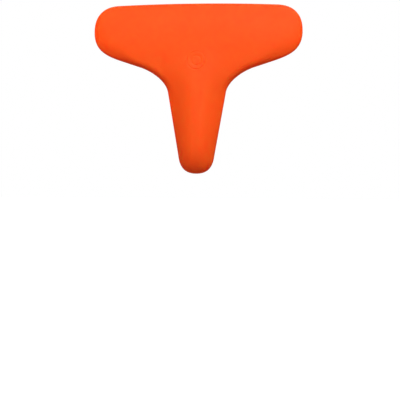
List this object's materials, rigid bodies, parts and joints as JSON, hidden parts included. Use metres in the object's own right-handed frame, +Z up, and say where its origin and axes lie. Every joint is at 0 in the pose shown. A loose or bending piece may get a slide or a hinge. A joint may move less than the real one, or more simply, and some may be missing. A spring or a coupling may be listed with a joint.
{
  "type": "hand squeegee",
  "caption": "T-shaped one-hand wiper with a thin flexible silicone lip along a wide head and a short tapering oval handle.",
  "frame": {"origin": "on the handle's axis in the middle of the grip, 110 mm below the middle of the wiping edge", "axes": "+Z up the handle to the wiping edge, +X along the head to the right, the front face looks along -Y"},
  "size_m": [0.1896, 0.0217, 0.154],
  "materials": {
    "silicone_skin": "matte moulded silicone",
    "plate_steel": "rolled spring steel",
    "insert_nylon": "glass-filled nylon, lightly textured",
    "rivet_steel": "plain stainless"
  },
  "bodies": {
    "handle_and_head": {"skin_front": "silicone_skin", "skin_rear": "silicone_skin", "core_plate": "plate_steel", "handle_insert_front": "insert_nylon", "handle_insert_rear": "insert_nylon", "rivet_upper": "rivet_steel", "rivet_middle": "rivet_steel", "rivet_lower": "rivet_steel"},
    "lip": {"wiping_lip": "silicone_skin"}
  },
  "joints": [
    {"name": "lip_flex", "type": "hinge", "parent": "handle_and_head", "child": "lip", "pos_m": [0, 0, 0.097], "axis": [1, 0, 0], "range_deg": [-30, 30], "stiffness_Nm_per_rad": 0.3}
  ]
}
